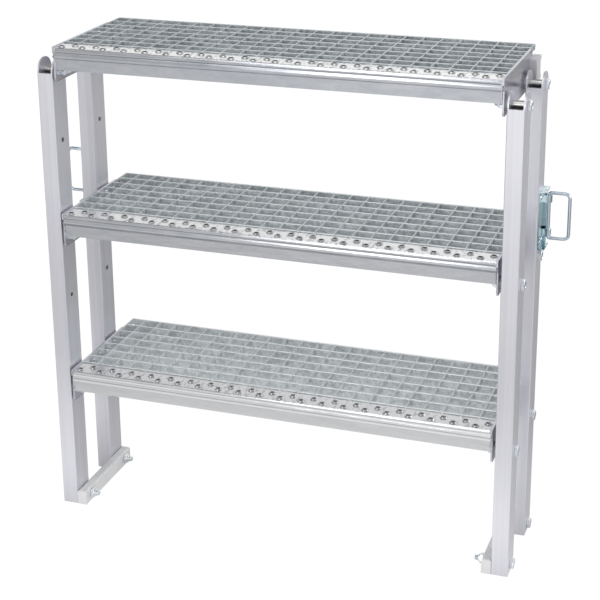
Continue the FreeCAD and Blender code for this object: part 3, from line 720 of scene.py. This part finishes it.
def sky_brightness(tree, direction):
    """Level with a slope along X and Y, dimmed towards the top."""
    formula = Formula(tree)
    x, y, z = formula.parts(direction)
    level = formula.math("MULTIPLY_ADD", x, SKY_RIGHT, SKY_LEVEL)
    level = formula.math("MULTIPLY_ADD", y, SKY_BACK, level)
    share = formula.ease(z, (SKY_DIM_FROM, SKY_DIM_TO), (1.0, SKY_OVERHEAD))
    return formula.math("MULTIPLY", level, share)


def paper_brightness(tree, place):
    """Glow of the paper as the metal mirrors it, from its place around the block."""
    formula = Formula(tree)
    x, y, _ = formula.parts(place)
    front = formula.ease(y, PAPER_TURN, (PAPER_FRONT, PAPER_BACK))
    aside = formula.math("ABSOLUTE", formula.math("SUBTRACT", x, PAPER_MIDDLE))
    away = formula.math("SUBTRACT", formula.math("ABSOLUTE", y), BAND_PLACE)
    band = formula.ease(formula.math("ABSOLUTE", away), (0.0, BAND_REACH), (BAND_DEPTH, 0.0))
    level = formula.math("SUBTRACT", front, formula.math("MULTIPLY", aside, PAPER_SIDE_FALL))
    return formula.math("MAXIMUM", formula.math("SUBTRACT", level, band), PAPER_LOWEST)


def seen_as(tree, brightness, direct):
    """One strength where it is seen directly, another in every reflection."""
    path = tree.nodes.new("ShaderNodeLightPath")
    choose = tree.nodes.new("ShaderNodeMix")
    choose.data_type = "FLOAT"
    tree.links.new(path.outputs["Is Camera Ray"], choose.inputs["Factor"])
    tree.links.new(brightness, choose.inputs["A"])
    choose.inputs["B"].default_value = direct
    return choose.outputs["Result"]


def make_floor():
    """Plain white floor, wide enough to fill every view, with a faint contact shadow."""
    mesh = bpy.data.meshes.new("studio_floor")
    square = ((-1, -1), (1, -1), (1, 1), (-1, 1))
    mesh.from_pydata([(x * FLOOR_HALF, y * FLOOR_HALF, 0) for x, y in square],
                     [], [(0, 1, 2, 3)])
    floor = bpy.data.objects.new("studio_floor", mesh)
    bpy.context.collection.objects.link(floor)
    paper = bpy.data.materials.new("studio_paper")
    paper.use_nodes = True
    tree = paper.node_tree
    tree.nodes.clear()
    place = tree.nodes.new("ShaderNodeTexCoord").outputs["Object"]
    level = paper_brightness(tree, place)
    glow = tree.nodes.new("ShaderNodeEmission")
    tree.links.new(seen_as(tree, level, PAPER_GLOW), glow.inputs["Strength"])
    matt = tree.nodes.new("ShaderNodeBsdfDiffuse")
    matt.inputs["Color"].default_value = (*[PAPER_ALBEDO] * 3, 1.0)
    both = tree.nodes.new("ShaderNodeAddShader")
    tree.links.new(glow.outputs["Emission"], both.inputs[0])
    tree.links.new(matt.outputs["BSDF"], both.inputs[1])
    output = tree.nodes.new("ShaderNodeOutputMaterial")
    tree.links.new(both.outputs["Shader"], output.inputs["Surface"])
    mesh.materials.append(paper)


def make_light(name, place, target, width, height, power):
    """Rectangular soft light that faces a target."""
    data = bpy.data.lights.new(name, "AREA")
    data.shape = "RECTANGLE"
    data.size, data.size_y, data.energy = width, height, power
    light = bpy.data.objects.new(name, data)
    light.location = place
    light.visible_camera = False
    light.rotation_euler = (Vector(target) - Vector(place)).to_track_quat("-Z", "Y").to_euler()
    bpy.context.collection.objects.link(light)


def make_world():
    """White sky; the metal mirrors it by its own brightness in each direction."""
    world = bpy.data.worlds.new("studio_world")
    world.use_nodes = True
    tree = world.node_tree
    direction = tree.nodes.new("ShaderNodeTexCoord").outputs["Generated"]
    level = sky_brightness(tree, direction)
    background = tree.nodes["Background"]
    background.inputs["Color"].default_value = (1.0, 1.0, 1.0, 1.0)
    tree.links.new(seen_as(tree, level, 1.0), background.inputs["Strength"])
    bpy.context.scene.world = world


def make_camera():
    """Camera to the right of the block and above, looking down at it."""
    data = bpy.data.cameras.new("camera")
    data.sensor_width = CAMERA_SENSOR
    data.lens = CAMERA_LENS
    data.shift_y = CAMERA_SHIFT
    camera = bpy.data.objects.new("camera", data)
    aim = (Matrix.Rotation(CAMERA_TURN, 4, "Z")
           @ Matrix.Rotation(math.pi / 2 - CAMERA_TILT, 4, "X")
           @ Matrix.Rotation(CAMERA_ROLL, 4, "Z"))
    camera.matrix_world = Matrix.Translation(CAMERA_PLACE) @ aim
    bpy.context.collection.objects.link(camera)
    bpy.context.scene.camera = camera


make_floor()
for light_values in LIGHTS:
    make_light(*light_values)
make_world()
make_camera()
bpy.context.scene.view_settings.view_transform = "Standard"
